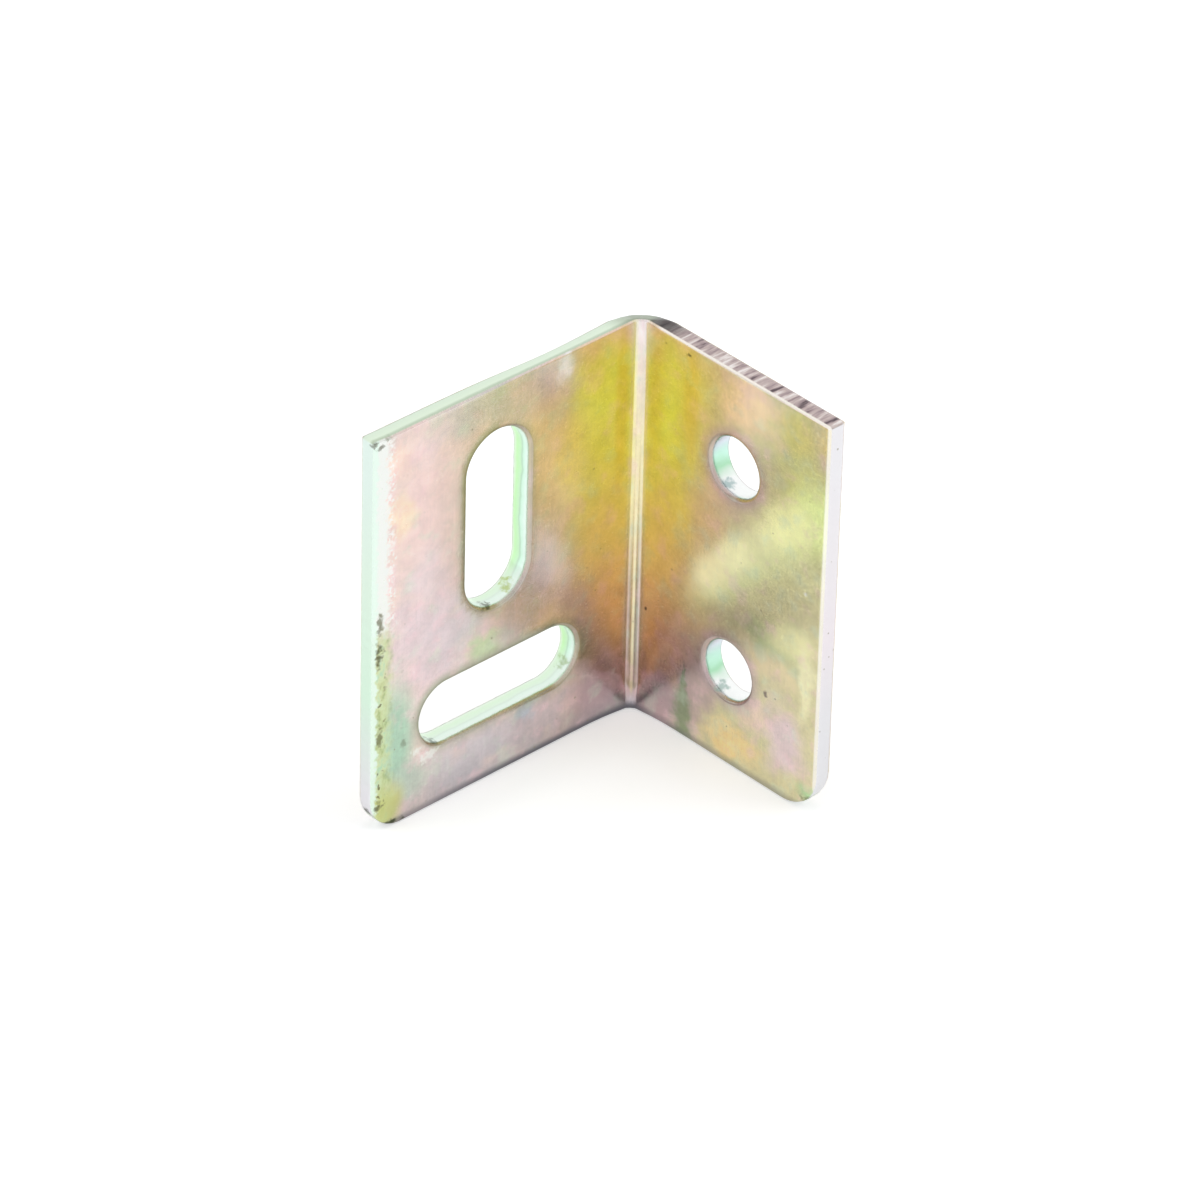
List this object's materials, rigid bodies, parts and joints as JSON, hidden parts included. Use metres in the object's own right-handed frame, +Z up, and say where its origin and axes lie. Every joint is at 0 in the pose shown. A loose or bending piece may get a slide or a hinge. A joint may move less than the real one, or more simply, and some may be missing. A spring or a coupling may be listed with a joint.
{
  "type": "right-angle mending plate",
  "caption": "Right-angle mending plate folded from plated sheet steel, with an upright and a level slot in one leaf and round screw holes in the other.",
  "frame": {"origin": "centre of the bounding box in plan, at the bottom edges that the plate stands on", "axes": "+Z up along the fold; +X from the fold along the leaf with the round holes; -Y from the fold along the slotted leaf"},
  "size_m": [0.024, 0.0308, 0.038],
  "materials": {
    "plated_steel": "zinc plate with a yellow, iridescent passivation, worn and spotted along the edges"
  },
  "bodies": {
    "root": {"folded_plate": "plated_steel"}
  },
  "joints": []
}
